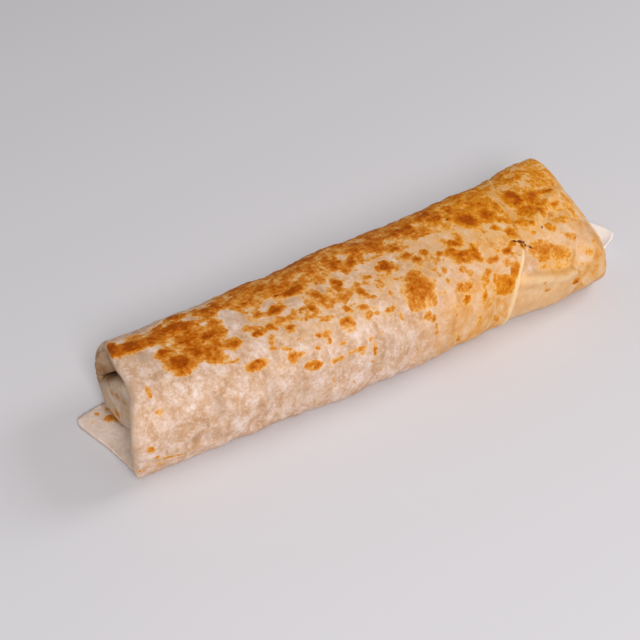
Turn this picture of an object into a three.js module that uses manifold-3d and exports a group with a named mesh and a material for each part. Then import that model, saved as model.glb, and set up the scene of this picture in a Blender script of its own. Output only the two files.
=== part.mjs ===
// A long burrito: one soft wheat tortilla rolled round its filling and griddled until it holds its shape.
// The tortilla is a single sheet, so the wrap is a single solid. What its folds leave to see is on it:
// - the last turn of the sheet, whose free edge runs slantwise round the roll near the right end
// - the long free edge of the sheet, low along the back
// - the left end, open like a parcel: a rim, a folded-in panel, a pocket above it and an ear below it
// - the right end, shut by a rounded flap with a pointed ear sticking out from under it
// Millimetres, +Z up, +X along the roll, -Y the front. The part is drawn round the middle of the roll, and at
// the end is moved so that the origin is the middle of the bottom of its bounding box.
import * as THREE from "three";
import Module from "manifold-3d";
import { mergeVertices } from "three/addons/utils/BufferGeometryUtils.js";

// Driving dimensions.
const SHEET = 1.8; // one layer of tortilla
const FLOOR_SINK = 1.3; // how far the round of the roll is pressed flat by its own weight
const TOP_SQUARENESS = 2.7; // superellipse exponents, 2 being an ellipse
const BASE_SQUARENESS = 3.0;
const RIM_ROUND = 2; // radius of the folded rim at the left end
const POCKET_DEPTH = 13;
const SKIN_COLOUR = 0xe6d2bd;

// Mesh fineness.
const AROUND = 58;
const RINGS_LAST_TURN = 36;
const RINGS_UNDER_TURN = 11;
const RINGS_NOSE = 9;

// The roll's cross-section where it changes, from the left end to the right one, over the last turn of the
// sheet. The right end is pressed lower, is pushed to the back, and drops towards the front.
const STATIONS = [
  { x: -140, width: 57, height: 41, side: 1.2, drop: 0 },
  { x: -112, width: 57, height: 41.3, side: 1.4, drop: 0 },
  { x: -70, width: 58.8, height: 42, side: 0.5, drop: 0 },
  { x: -10, width: 63.6, height: 44.5, side: -0.2, drop: 0 },
  { x: 40, width: 61.8, height: 45, side: 1.2, drop: 0.01 },
  { x: 70, width: 66, height: 45.2, side: 1.4, drop: 0.05 },
  { x: 92, width: 71, height: 45.6, side: 3.7, drop: 0.13 },
  { x: 113, width: 69, height: 44, side: 6.9, drop: 0.28 },
  { x: 140, width: 68, height: 41, side: 8, drop: 0.4 },
];

// Lines drawn round the roll: share of a turn from the middle of the base, by way of the back, and x there.
const LEFT_RIM = [
  { turn: 0, value: -126 },
  { turn: 0.12, value: -122.5 },
  { turn: 0.25, value: -123 },
  { turn: 0.37, value: -121 },
  { turn: 0.5, value: -124 },
  { turn: 0.56, value: -126 },
  { turn: 0.61, value: -129 },
  { turn: 0.66, value: -131.5 },
  { turn: 0.74, value: -133 },
  { turn: 0.86, value: -131 },
];
const SLANTING_EDGE = [
  { turn: 0, value: 72 },
  { turn: 0.1, value: 93 },
  { turn: 0.25, value: 87 },
  { turn: 0.37, value: 78 },
  { turn: 0.5, value: 65.5 },
  { turn: 0.55, value: 61.3 },
  { turn: 0.59, value: 59.4 },
  { turn: 0.635, value: 55.6 },
  { turn: 0.68, value: 51.7 },
  { turn: 0.725, value: 49.8 },
  { turn: 0.8, value: 48.5 },
  { turn: 0.87, value: 46 },
  { turn: 0.93, value: 50 },
];
const RIGHT_END = [
  { turn: 0, value: 111 },
  { turn: 0.12, value: 110.5 },
  { turn: 0.25, value: 110 },
  { turn: 0.38, value: 109.5 },
  { turn: 0.5, value: 110 },
  { turn: 0.62, value: 111 },
  { turn: 0.75, value: 110.8 },
  { turn: 0.88, value: 112 },
];
// The edge of the flap that folds down over the right end, on the top and the front only.
const FLAP_EDGE = [
  { turn: 0, value: 100 },
  { turn: 0.3, value: 98 },
  { turn: 0.5, value: 96 },
  { turn: 0.55, value: 92 },
  { turn: 0.6, value: 89 },
  { turn: 0.635, value: 85.5 },
  { turn: 0.67, value: 83.5 },
  { turn: 0.7, value: 80.8 },
  { turn: 0.725, value: 81.6 },
  { turn: 0.755, value: 86 },
  { turn: 0.8, value: 93 },
  { turn: 0.9, value: 98 },
];

// How widely the right end rounds there: tight along the back, wide over the top, and full at the front.
const RIGHT_ROUND = [
  { turn: 0, value: 6 },
  { turn: 0.12, value: 4 },
  { turn: 0.25, value: 3 },
  { turn: 0.36, value: 2.2 },
  { turn: 0.44, value: 8 },
  { turn: 0.52, value: 17 },
  { turn: 0.62, value: 19 },
  { turn: 0.75, value: 10 },
  { turn: 0.88, value: 7 },
];

const TURN = 2 * Math.PI;
const DEGREES = 180 / Math.PI;
const degrees = (d) => d / DEGREES;
const mix = (a, b, t) => a + (b - a) * t;
const clamp01 = (t) => Math.min(1, Math.max(0, t));
const smooth = (from, to, value) => {
  const t = clamp01((value - from) / (to - from));
  return t * t * (3 - 2 * t);
};

// A smooth curve from one value to the next, with the slopes it has at each.
function hermite(t, from, to, slopeFrom, slopeTo) {
  const t2 = t * t;
  const t3 = t2 * t;
  return (
    (2 * t3 - 3 * t2 + 1) * from +
    (t3 - 2 * t2 + t) * slopeFrom +
    (3 * t2 - 2 * t3) * to +
    (t3 - t2) * slopeTo
  );
}

// One value of the cross-section at x, on a smooth curve through the stations.
function along(key, x) {
  const last = STATIONS.length - 1;
  const slope = (i) => {
    const before = STATIONS[Math.max(i - 1, 0)];
    const after = STATIONS[Math.min(i + 1, last)];
    return (after[key] - before[key]) / (after.x - before.x);
  };
  let i = 0;
  while (i < last - 1 && x > STATIONS[i + 1].x) i += 1;
  const from = STATIONS[i];
  const to = STATIONS[i + 1];
  const span = to.x - from.x;
  const t = clamp01((x - from.x) / span);
  return hermite(t, from[key], to[key], span * slope(i), span * slope(i + 1));
}

// Angles run round the roll from its back (0) over the top (90 degrees) and down the front (180).
const power = (value, exponent) => Math.sign(value) * Math.abs(value) ** exponent;
const squareness = (angle) => (Math.sin(angle) > 0 ? TOP_SQUARENESS : BASE_SQUARENESS);

// Soft bulges that the filling presses into the sheet, ribs where the sheet puckers round the roll, the long
// fold that runs from the slanting edge to the flap at the right end, and the hollow on top of that end.
function bulge(x, angle) {
  const inBody = smooth(-128, -105, x) * smooth(118, 98, x);
  const lumps =
    0.45 * Math.sin(x / 14.5 + 0.9) * Math.cos(2 * angle + 0.5) +
    0.35 * Math.sin(x / 9.1 + 2 * angle + 1.7) * Math.sin(angle + 0.8) +
    0.25 * Math.sin(x / 5.9 - 3 * angle + 0.4);
  const front = smooth(0.1, 0.8, -Math.cos(angle));
  const ribs = 0.22 * front * Math.sin(x / 2.9 + 1.6 * Math.sin(x / 17) + 0.5 * angle);
  const turned = angle * DEGREES;
  const fold = 1.0 * smooth(49, 58, x) * smooth(92, 80, x) * smooth(157, 166, turned) * smooth(198, 176, turned);
  const hollow = 1.0 * Math.exp(-(((x - 85) / 6) ** 2) - ((turned - 102) / 10) ** 2);
  return inBody * (lumps + ribs) + fold - hollow;
}

// The point of the skin at x and angle, moved out by lift, and drawn in from the outline by inset.
function skin(x, angle, lift, inset) {
  const halfWidth = along("width", x) / 2;
  const middle = along("height", x) / 2;
  const exponent = 2 / squareness(angle);
  const across = power(Math.cos(angle), exponent);
  const up = power(Math.sin(angle), exponent);
  const halfHeight = up > 0 ? middle : middle + FLOOR_SINK;
  const normalY = power(Math.cos(angle), 2 - exponent) / halfWidth;
  const normalZ = power(Math.sin(angle), 2 - exponent) / halfHeight;
  const length = Math.hypot(normalY, normalZ);
  const out = lift + bulge(x, angle);
  const y = along("side", x) + across * (halfWidth - inset) + (out * normalY) / length;
  const z = middle + up * (halfHeight - inset) + (out * normalZ) / length;
  const towardsFront = (1 - across) / 2;
  return new THREE.Vector3(x, y, z * (1 - along("drop", x) * towardsFront));
}

// What a line drawn round the roll has at an angle.
function aroundRoll(line, angle) {
  const turn = (angle / TURN + 1.25) % 1;
  const count = line.length;
  const at = (i) => {
    const crossing = line[(i + count) % count];
    return { turn: crossing.turn + Math.floor(i / count), value: crossing.value };
  };
  let i = 0;
  while (i < count - 1 && turn > at(i + 1).turn) i += 1;
  const slope = (j) => (at(j + 1).value - at(j - 1).value) / (at(j + 1).turn - at(j - 1).turn);
  const span = at(i + 1).turn - at(i).turn;
  const t = (turn - at(i).turn) / span;
  return hermite(t, at(i).value, at(i + 1).value, slope(i) * span, slope(i + 1) * span);
}

// How much lower than the last turn the skin lies beyond the slanting edge. The griddle has pressed the top,
// and the roll's own weight the base.
function turnDrop(angle) {
  const pressedTop = mix(1, 0.3, smooth(0, 0.6, Math.sin(angle)) * smooth(-0.95, -0.5, Math.cos(angle)));
  const pressedBase = mix(1, 0.3, smooth(-0.4, -0.9, Math.sin(angle)));
  return SHEET * pressedTop * pressedBase;
}

// The long free edge, under the roll: the sheet in front of it lies on the turn behind it.
const LONG_EDGE_ANGLE = degrees(-84);
const LONG_EDGE_FADE = degrees(70);
const longEdgeHere = (x) => smooth(-130, -114, x) * smooth(62, 30, x);

// Columns round the roll. Two are at the long edge: the turn behind it, and the sheet in front of it.
function columns() {
  const made = [];
  for (let k = 0; k <= AROUND; k += 1) {
    const turned = (TURN * k) / AROUND;
    made.push({ angle: LONG_EDGE_ANGLE + turned, behind: Math.max(0, 1 - turned / LONG_EDGE_FADE) });
  }
  made[AROUND].behind = 0;
  return made;
}

// How much lower the skin lies beyond the edge of the flap over the right end.
const flapDrop = (angle) => 0.8 * SHEET * smooth(98, 114, angle * DEGREES) * smooth(192, 175, angle * DEGREES);

// A point of the skin as it lies: on the last turn, under it, or beyond the flap, and never below the floor.
const LAST_TURN = 0;
const UNDER_TURN = 1;
const BEYOND_FLAP = 2;
function laidSkin(x, column, inset, layer) {
  const under = layer >= UNDER_TURN ? turnDrop(column.angle) : 0;
  const beyond = layer >= BEYOND_FLAP ? flapDrop(column.angle) : 0;
  const behind = 0.4 * SHEET * column.behind * longEdgeHere(x);
  const p = skin(x, column.angle, -under - beyond - behind, inset);
  p.z = Math.max(p.z, 0.55 * SHEET * column.behind * longEdgeHere(x));
  return p;
}

// The middle of a ring of points.
const middleOf = (points) =>
  points.reduce((sum, p) => sum.add(p), new THREE.Vector3()).divideScalar(points.length);

// A closed skin over rings of points, each end drawn to a point in the middle of its last ring.
function closedSkin(rings, firstPole, lastPole) {
  const wide = rings[0].length;
  const positions = [];
  const push = (p) => positions.push(p.x, p.y, p.z);
  push(firstPole);
  rings.forEach((ring) => ring.forEach(push));
  push(lastPole);
  const index = [];
  const at = (ring, k) => 1 + ring * wide + (k % wide);
  const end = 1 + rings.length * wide;
  for (let k = 0; k < wide; k += 1) {
    index.push(0, at(0, k + 1), at(0, k));
    for (let ring = 0; ring < rings.length - 1; ring += 1) {
      index.push(at(ring, k), at(ring + 1, k + 1), at(ring + 1, k));
      index.push(at(ring, k), at(ring, k + 1), at(ring + 1, k + 1));
    }
    index.push(end, at(rings.length - 1, k), at(rings.length - 1, k + 1));
  }
  const geometry = new THREE.BufferGeometry();
  geometry.setAttribute("position", new THREE.Float32BufferAttribute(positions, 3));
  geometry.setIndex(index);
  return geometry;
}

// The roll, from the floor of the left end's pocket, over the rim, along the body and round the right nose.
function rollGeometry() {
  const around = columns();
  const leftX = (angle) => aroundRoll(LEFT_RIM, angle);
  const edgeX = (angle) => aroundRoll(SLANTING_EDGE, angle);
  const flapX = (angle) => aroundRoll(FLAP_EDGE, angle);
  const rightX = (angle) => aroundRoll(RIGHT_END, angle);
  const rings = [];
  // One ring: place gives, for an angle, x and how far the ring is drawn in from the outline.
  const addRing = (layer, place) => {
    const ring = around.map((column) => {
      const { x, inset } = place(column.angle);
      return laidSkin(x, column, inset, layer);
    });
    rings.push(ring);
  };
  // Rings from one line round the roll to the next, drawn in where the right end rounds off.
  const roundedOff = (x, angle) => {
    const round = aroundRoll(RIGHT_ROUND, angle);
    const into = clamp01((x - rightX(angle) + round) / round);
    return 0.85 * round * (1 - Math.sqrt(1 - into * into));
  };
  const addSpan = (layer, count, first, fromX, toX, spacing) => {
    for (let i = first; i <= count; i += 1) {
      addRing(layer, (a) => {
        const x = mix(fromX(a), toX(a), spacing(i / count));
        return { x, inset: roundedOff(x, a) };
      });
    }
  };
  const evenly = (t) => t;
  const closingUp = (t) => Math.sin((t * Math.PI) / 2);

  // The pocket's floor and wall.
  const wall = 2 * RIM_ROUND;
  [
    { deep: 1.15, inset: wall + 13 },
    { deep: 1.1, inset: wall + 5 },
    { deep: 1, inset: wall + 1.2 },
    { deep: 0.5, inset: wall + 0.4 },
  ].forEach(({ deep, inset }) => addRing(LAST_TURN, (a) => ({ x: leftX(a) + deep * POCKET_DEPTH, inset })));
  // The rounded rim.
  for (let i = 0; i <= 4; i += 1) {
    const turn = (Math.PI * i) / 4;
    const inset = RIM_ROUND * (1 + Math.cos(turn));
    addRing(LAST_TURN, (a) => ({ x: leftX(a) + RIM_ROUND * (1 - Math.sin(turn)), inset }));
  }
  addSpan(LAST_TURN, RINGS_LAST_TURN, 1, (a) => leftX(a) + RIM_ROUND, edgeX, evenly);
  addSpan(UNDER_TURN, RINGS_UNDER_TURN, 0, edgeX, flapX, evenly);
  addSpan(BEYOND_FLAP, RINGS_NOSE, 0, flapX, rightX, closingUp);
  const nose = middleOf(rings[rings.length - 1]);
  nose.x += 0.6;
  return closedSkin(rings, middleOf(rings[0]), nose);
}

// Pillows fill the ends. Their outlines are y and z, clockwise seen from +X at the left end, and the other way
// round at the right one. A pillow's face looks out of its end, and its depth runs into the roll.
// The panel is folded in over the most of the left end, and goes down into a recess behind the front of the
// rim. Its outline goes down the back, along the floor to the front, up behind the rim and home along its top
// fold, which is clear of the hood over it by a narrow slit.
const PANEL = {
  outline: [
    [27.4, 14.6],
    [28.4, 9],
    [26.5, 4],
    [21, 2.6],
    [14, 3.4],
    [7, 5],
    [1, 7.8],
    [-6, 12.2],
    [-14, 18.5],
    [-22, 24.5],
    [-21, 31],
    [-10, 35],
    [1, 34],
    [8, 30.4],
    [18, 22.6],
  ],
  face: -124,
  backwards: 0.8, // how much nearer to +X the face is low at its back than elsewhere
  sunkenFront: 5,
  hollow: -0.7,
  deep: 21,
};
// The hood hangs over the panel's top fold from the rim.
const HOOD = {
  outline: [
    [28.2, 26],
    [28.8, 20],
    [27, 16.6],
    [18, 24.4],
    [8, 32.4],
    [2, 36],
    [3, 39],
    [13, 38.6],
    [20, 36.2],
    [25.5, 31.5],
  ],
  face: -118.6,
  backwards: -5.6,
  hollow: 0.6,
  deep: 20,
};

// The tuck is the sheet's corner, folded flat over the right end like the flap of an envelope.
const TUCK = {
  outline: [
    [31, 35],
    [10, 33],
    [-11, 26],
    [-19, 17],
    [-12, 10.5],
    [0, 7.2],
    [9, 6.8],
    [23, 13],
    [33, 21],
    [35.5, 28],
  ],
  face: 112.6,
  backwards: -0.6,
  sunkenTop: -6,
  hollow: -0.4,
  deep: 12,
  rightEnd: true,
};

function pillowGeometry({ outline, face, backwards, sunkenTop = 0, sunkenFront = 0, hollow, deep, rightEnd }) {
  const count = 40;
  const inwards = rightEnd ? -1 : 1;
  const points = outline.map(([y, z]) => new THREE.Vector3(0, y, z));
  const edge = new THREE.CatmullRomCurve3(points, true, "centripetal").getSpacedPoints(count).slice(0, count);
  const middle = middleOf(edge);
  // Drawn in towards the middle by a share, and pushed away from the face by a depth.
  const layers = [
    { drawn: 0, depth: deep },
    { drawn: 0, depth: 5 },
    { drawn: 0.02, depth: 2.9 },
    { drawn: 0.06, depth: 1.5 },
    { drawn: 0.13, depth: 0.5 },
    { drawn: 0.24, depth: 0 },
    { drawn: 0.45, depth: hollow * 0.8 },
    { drawn: 0.7, depth: hollow },
  ];
  const rings = layers.map(({ drawn, depth }) =>
    edge.map((p) => {
      const q = p.clone().lerp(middle, drawn);
      const tilt = backwards * smooth(3, 30, q.y) * smooth(46, 22, q.z);
      const sunken = sunkenTop * smooth(17, 36, q.z) + sunkenFront * smooth(-3, -19, q.y);
      q.x = face + tilt + sunken + inwards * depth;
      return q;
    }),
  );
  return closedSkin(rings, middleOf(rings[0]), middleOf(rings[rings.length - 1]));
}

// An ear: the flattened corner of the sheet that sticks out at the foot of an end.
// root and rim are curves from front to back; the sheet runs between them, thinner at the rim.
function earGeometry({ root, rim, rootHeight, rimHeight, rimLift }) {
  const across = 16;
  const steps = 6;
  const rings = [];
  for (let i = 0; i <= across; i += 1) {
    const t = i / across;
    const inner = root.getPoint(t);
    const outer = rim.getPoint(t);
    const ring = [];
    const point = (s, height) => {
      const p = inner.clone().lerp(outer, s);
      return new THREE.Vector3(p.x, p.y, height);
    };
    for (let j = 0; j <= steps; j += 1) {
      const s = j / steps;
      ring.push(point(s, mix(0, rimLift, s * s)));
    }
    for (let j = steps; j >= 0; j -= 1) {
      const s = j / steps;
      ring.push(point(s * 0.995, mix(rootHeight, rimHeight, 1 - (1 - s) ** 1.6) + rimLift * s * s));
    }
    rings.push(ring);
  }
  return closedSkin(rings, middleOf(rings[0]), middleOf(rings[rings.length - 1]));
}

const curve = (points) =>
  new THREE.CatmullRomCurve3(points.map(([x, y]) => new THREE.Vector3(x, y, 0)), false, "centripetal");

function leftEarGeometry() {
  return earGeometry({
    root: curve([[-113, -15], [-112, 0], [-114, 12]]),
    rim: curve([[-128.6, -18], [-131.8, 0.8], [-136.2, 19.6], [-135.8, 22], [-130, 24], [-121, 25], [-117, 19]]),
    rootHeight: 7.5,
    rimHeight: 1.7,
    rimLift: 0.6,
  });
}

function rightEarGeometry() {
  return earGeometry({
    root: curve([[104, 20], [101, 10], [102, -8]]),
    rim: curve([[110, 26], [117, 25], [126, 13], [132.2, 2], [132.4, -2.5], [124, -7.5], [113, -11]]),
    rootHeight: 8,
    rimHeight: 1.8,
    rimLift: 5.6,
  });
}

// Joining.
const wasm = await Module();
wasm.setup();

function solid(geometry) {
  const bare = new THREE.BufferGeometry();
  bare.setAttribute("position", geometry.getAttribute("position"));
  if (geometry.index) bare.setIndex(geometry.index);
  const merged = mergeVertices(bare, 1e-3);
  return new wasm.Manifold(
    new wasm.Mesh({
      numProp: 3,
      vertProperties: merged.attributes.position.array,
      triVerts: new Uint32Array(merged.index.array),
    }),
  );
}

function burritoMesh() {
  const joined = solid(rollGeometry())
    .add(solid(pillowGeometry(PANEL)))
    .add(solid(pillowGeometry(HOOD)))
    .add(solid(pillowGeometry(TUCK)))
    .add(solid(leftEarGeometry()))
    .add(solid(rightEarGeometry()));
  const { vertProperties, triVerts } = joined.getMesh();
  const geometry = new THREE.BufferGeometry();
  geometry.setAttribute("position", new THREE.BufferAttribute(vertProperties, 3));
  geometry.setIndex(new THREE.BufferAttribute(triVerts, 1));
  geometry.computeBoundingBox();
  const middle = geometry.boundingBox.getCenter(new THREE.Vector3());
  geometry.translate(-middle.x, -middle.y, -geometry.boundingBox.min.z);
  geometry.computeVertexNormals();
  const material = new THREE.MeshStandardMaterial({ color: SKIN_COLOUR, roughness: 0.62, metalness: 0 });
  const mesh = new THREE.Mesh(geometry, material);
  mesh.name = "rolled_tortilla";
  return mesh;
}

const burrito = new THREE.Group();
burrito.add(burritoMesh());

export default burrito;
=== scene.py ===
import math

import bpy
import numpy as np
from mathutils import Matrix


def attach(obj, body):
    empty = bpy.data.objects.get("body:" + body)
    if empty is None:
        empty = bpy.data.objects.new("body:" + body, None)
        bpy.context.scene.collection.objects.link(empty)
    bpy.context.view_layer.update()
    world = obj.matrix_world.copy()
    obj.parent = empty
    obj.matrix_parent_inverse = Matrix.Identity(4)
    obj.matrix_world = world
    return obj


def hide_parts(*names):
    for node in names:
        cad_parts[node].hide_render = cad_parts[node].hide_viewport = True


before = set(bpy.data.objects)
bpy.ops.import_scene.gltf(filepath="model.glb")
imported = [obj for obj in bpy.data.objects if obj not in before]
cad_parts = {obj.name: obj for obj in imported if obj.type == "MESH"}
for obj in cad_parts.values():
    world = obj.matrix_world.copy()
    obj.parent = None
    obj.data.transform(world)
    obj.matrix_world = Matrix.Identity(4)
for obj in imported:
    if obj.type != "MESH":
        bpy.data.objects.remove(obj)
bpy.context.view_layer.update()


# The rolled tortilla
# A burrito is one big soft wheat tortilla rolled round its filling and browned on a griddle. The roll is
# drawn as rings of skin from the pocket at its open left end, over the folded rim and along the body, to the
# rounded nose at its right end. The last turn of the sheet ends in a free edge that slants round the roll.
# All lengths here are millimetres, and x runs along the roll, y to its back and z up.

SHEET = 1.8
FLOOR_SINK = 1.3
TOP_SQUARENESS = 2.7
BASE_SQUARENESS = 3.0
RIM_ROUND = 2.0
POCKET_DEPTH = 13.0

# The roll's cross-section where it changes: x, width, height, side shift, drop towards the front.
STATIONS = (
    (-140, 57.0, 41.0, 1.2, 0.0),
    (-112, 57.0, 41.3, 1.4, 0.0),
    (-70, 58.8, 42.0, 0.5, 0.0),
    (-10, 63.6, 44.5, -0.2, 0.0),
    (40, 61.8, 45.0, 1.2, 0.01),
    (70, 66.0, 45.2, 1.4, 0.05),
    (92, 71.0, 45.6, 3.7, 0.13),
    (113, 69.0, 44.0, 6.9, 0.28),
    (140, 68.0, 41.0, 8.0, 0.4),
)
WIDTH = 1
HEIGHT = 2
SIDE = 3
DROP = 4

# Lines drawn round the roll: share of a turn from the middle of the base, by way of the back, and x there.
LEFT_RIM = {
    0: -126, 0.12: -122.5, 0.25: -123, 0.37: -121, 0.5: -124, 0.56: -126,
    0.61: -129, 0.66: -131.5, 0.74: -133, 0.86: -131,
}
SLANTING_EDGE = {
    0: 72, 0.1: 93, 0.25: 87, 0.37: 78, 0.5: 65.5, 0.55: 61.3, 0.59: 59.4, 0.635: 55.6, 0.68: 51.7,
    0.725: 49.8, 0.8: 48.5, 0.87: 46, 0.93: 50,
}
RIGHT_END = {
    0: 111, 0.12: 110.5, 0.25: 110, 0.38: 109.5, 0.5: 110, 0.62: 111, 0.75: 110.8, 0.88: 112,
}
FLAP_EDGE = {
    0: 100, 0.3: 98, 0.5: 96, 0.55: 92, 0.6: 89, 0.635: 85.5, 0.67: 83.5, 0.7: 80.8, 0.725: 81.6, 0.755: 86,
    0.8: 93, 0.9: 98,
}
RIGHT_ROUND = {
    0: 6, 0.12: 4, 0.25: 3, 0.36: 2.2, 0.44: 8, 0.52: 17, 0.62: 19, 0.75: 10, 0.88: 7,
}

LONG_EDGE_ANGLE = math.radians(-84)
LONG_EDGE_FADE = math.radians(70)


def smooth(start, end, value):
    t = np.clip((value - start) / (end - start), 0, 1)
    return t * t * (3 - 2 * t)


def hermite(t, start, end, slope_start, slope_end):
    t2 = t * t
    t3 = t2 * t
    rising = (2 * t3 - 3 * t2 + 1) * start + (t3 - 2 * t2 + t) * slope_start
    return rising + (3 * t2 - 2 * t3) * end + (t3 - t2) * slope_end


def along(column, x):
    places = np.array([station[0] for station in STATIONS], float)
    values = np.array([station[column] for station in STATIONS], float)
    last = len(places) - 1
    before = np.maximum(np.arange(last + 1) - 1, 0)
    after = np.minimum(np.arange(last + 1) + 1, last)
    slopes = (values[after] - values[before]) / (places[after] - places[before])
    i = np.clip(np.searchsorted(places, x) - 1, 0, last - 1)
    span = places[i + 1] - places[i]
    t = np.clip((x - places[i]) / span, 0, 1)
    return hermite(t, values[i], values[i + 1], span * slopes[i], span * slopes[i + 1])


def around_roll(line, angle):
    turn = (angle / math.tau + 1.25) % 1
    turns = np.array(sorted(line), float)
    values = np.array([line[key] for key in sorted(line)], float)
    count = len(turns)
    turns = np.concatenate([[turns[-1] - 1], turns, [turns[0] + 1, turns[1] + 1]])
    values = np.concatenate([[values[-1]], values, [values[0], values[1]]])
    i = np.clip(np.searchsorted(turns, turn), 2, count + 1) - 1
    slope = (values[2:] - values[:-2]) / (turns[2:] - turns[:-2])
    span = turns[i + 1] - turns[i]
    t = (turn - turns[i]) / span
    return hermite(t, values[i], values[i + 1], slope[i - 1] * span, slope[i] * span)


def signed_power(value, exponent):
    return np.sign(value) * np.abs(value) ** exponent


def bulge(x, angle):
    in_body = smooth(-128, -105, x) * smooth(118, 98, x)
    lumps = 0.45 * np.sin(x / 14.5 + 0.9) * np.cos(2 * angle + 0.5)
    lumps = lumps + 0.35 * np.sin(x / 9.1 + 2 * angle + 1.7) * np.sin(angle + 0.8)
    lumps = lumps + 0.25 * np.sin(x / 5.9 - 3 * angle + 0.4)
    front = smooth(0.1, 0.8, -np.cos(angle))
    ribs = 0.22 * front * np.sin(x / 2.9 + 1.6 * np.sin(x / 17) + 0.5 * angle)
    turned = np.degrees(angle)
    fold = smooth(49, 58, x) * smooth(92, 80, x) * smooth(157, 166, turned) * smooth(198, 176, turned)
    dent = np.exp(-(((x - 85) / 6) ** 2) - ((turned - 102) / 10) ** 2)
    return in_body * (lumps + ribs) + fold - dent


def skin(x, angle, lift, inset):
    half_width = along(WIDTH, x) / 2
    middle = along(HEIGHT, x) / 2
    exponent = 2 / np.where(np.sin(angle) > 0, TOP_SQUARENESS, BASE_SQUARENESS)
    across = signed_power(np.cos(angle), exponent)
    up = signed_power(np.sin(angle), exponent)
    half_height = np.where(up > 0, middle, middle + FLOOR_SINK)
    normal_y = signed_power(np.cos(angle), 2 - exponent) / half_width
    normal_z = signed_power(np.sin(angle), 2 - exponent) / half_height
    length = np.hypot(normal_y, normal_z)
    out = lift + bulge(x, angle)
    y = along(SIDE, x) + across * (half_width - inset) + out * normal_y / length
    z = middle + up * (half_height - inset) + out * normal_z / length
    z = z * (1 - along(DROP, x) * (1 - across) / 2)
    return np.stack([x, y, z], axis=-1)


def turn_drop(angle):
    pressed_top = 1 - 0.7 * smooth(0, 0.6, np.sin(angle)) * smooth(-0.95, -0.5, np.cos(angle))
    pressed_base = 1 - 0.7 * smooth(-0.4, -0.9, np.sin(angle))
    return SHEET * pressed_top * pressed_base


def flap_drop(angle):
    turned = np.degrees(angle)
    return 0.8 * SHEET * smooth(98, 114, turned) * smooth(192, 175, turned)


# The columns of the skin are spaced evenly over its own length, and wider apart under the roll.
def column_angles(count):
    fine = np.linspace(LONG_EDGE_ANGLE, LONG_EDGE_ANGLE + math.tau, 6001)
    ring = skin(np.zeros_like(fine), fine, 0, 0)
    step = np.hypot(np.diff(ring[:, 1]), np.diff(ring[:, 2]))
    under = smooth(-0.5, -0.95, np.sin(fine[1:]))
    walked = np.concatenate([[0], np.cumsum(step * (1 - 0.55 * under))])
    return np.interp(np.linspace(0, walked[-1], count), walked, fine)


COLUMNS = 188
RINGS_LAST_TURN = 300
RINGS_UNDER_TURN = 62
RINGS_NOSE = 26

ring_angle = column_angles(COLUMNS)
behind_edge = np.maximum(0, 1 - (ring_angle - LONG_EDGE_ANGLE) / LONG_EDGE_FADE)
behind_edge[-1] = 0
left_x = around_roll(LEFT_RIM, ring_angle)
edge_x = around_roll(SLANTING_EDGE, ring_angle)
flap_x = around_roll(FLAP_EDGE, ring_angle)
right_x = around_roll(RIGHT_END, ring_angle)
end_round = around_roll(RIGHT_ROUND, ring_angle)

roll_rings = []


def add_ring(x, inset, lift):
    here = smooth(-130, -114, x) * smooth(62, 30, x)
    laid = skin(x, ring_angle, lift - 0.4 * SHEET * behind_edge * here, inset)
    laid[:, 2] = np.maximum(laid[:, 2], 0.55 * SHEET * behind_edge * here)
    roll_rings.append(laid)


def rounded_off(x):
    into = np.clip((x - right_x + end_round) / end_round, 0, 1)
    return 0.85 * end_round * (1 - np.sqrt(1 - into * into))


def add_span(start_x, end_x, shares, lift):
    for share in shares:
        x = start_x + (end_x - start_x) * share
        add_ring(x, rounded_off(x), lift)


# The pocket's floor and wall, and the folded rim.
wall = 2 * RIM_ROUND
for deep, inset in (
    (1.16, 17.5), (1.15, 17.0), (1.13, 13.0), (1.11, 9.0), (1.08, 5.0), (1.0, 1.2), (0.8, 0.75),
    (0.6, 0.5), (0.4, 0.3),
):
    add_ring(left_x + deep * POCKET_DEPTH, wall + inset, 0.0)
for turned in np.linspace(0, math.pi, 11):
    add_ring(
        left_x + RIM_ROUND * (1 - math.sin(turned)), RIM_ROUND * (1 + math.cos(turned)) + 0 * left_x, 0.0
    )

# The last turn up to its free edge, whose lip is round and stands a little off the turn under it.
LIP = 0.9
dropped = turn_drop(ring_angle)
add_span(left_x + RIM_ROUND, edge_x - LIP, np.arange(1, RINGS_LAST_TURN + 1) / RINGS_LAST_TURN, 0.0)
for turned in np.radians((24, 46, 66, 84)):
    x = edge_x - LIP * (1 - math.sin(turned))
    add_ring(x, rounded_off(x), -0.8 * dropped * (1 - math.cos(turned)))
add_ring(edge_x - 0.12, rounded_off(edge_x - 0.12), -0.92 * dropped)
add_ring(edge_x - 0.3, rounded_off(edge_x - 0.3), -dropped)
under_shares = np.arange(1, RINGS_UNDER_TURN + 1) / RINGS_UNDER_TURN
add_span(edge_x - 0.3, flap_x - 0.5, under_shares, -dropped)

# Over the nose the end of the sheet is folded down as a flap, with a step where the flap ends.
folded = flap_drop(ring_angle)
for share in (0.35, 0.7, 1.0):
    x = flap_x - 0.5 + 0.7 * share
    add_ring(x, rounded_off(x), -dropped - folded * (1 - math.cos(share * math.pi / 2)))
nose_shares = np.sin(np.arange(1, RINGS_NOSE + 1) / RINGS_NOSE * math.pi / 2)
add_span(flap_x + 0.2, right_x, nose_shares, -dropped - folded)

# The nose closes over the last ring.
last_ring = roll_rings[-1]
nose_middle = last_ring.mean(axis=0) + np.array([0.6, 0, 0])
for share in (0.04, 0.1, 0.18, 0.28, 0.4, 0.52, 0.64, 0.76, 0.88, 0.96):
    ring = last_ring + (nose_middle - last_ring) * share
    ring[:, 0] += 0.5 * math.sin(share * math.pi / 2) * (1 - share)
    roll_rings.append(ring)


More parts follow.
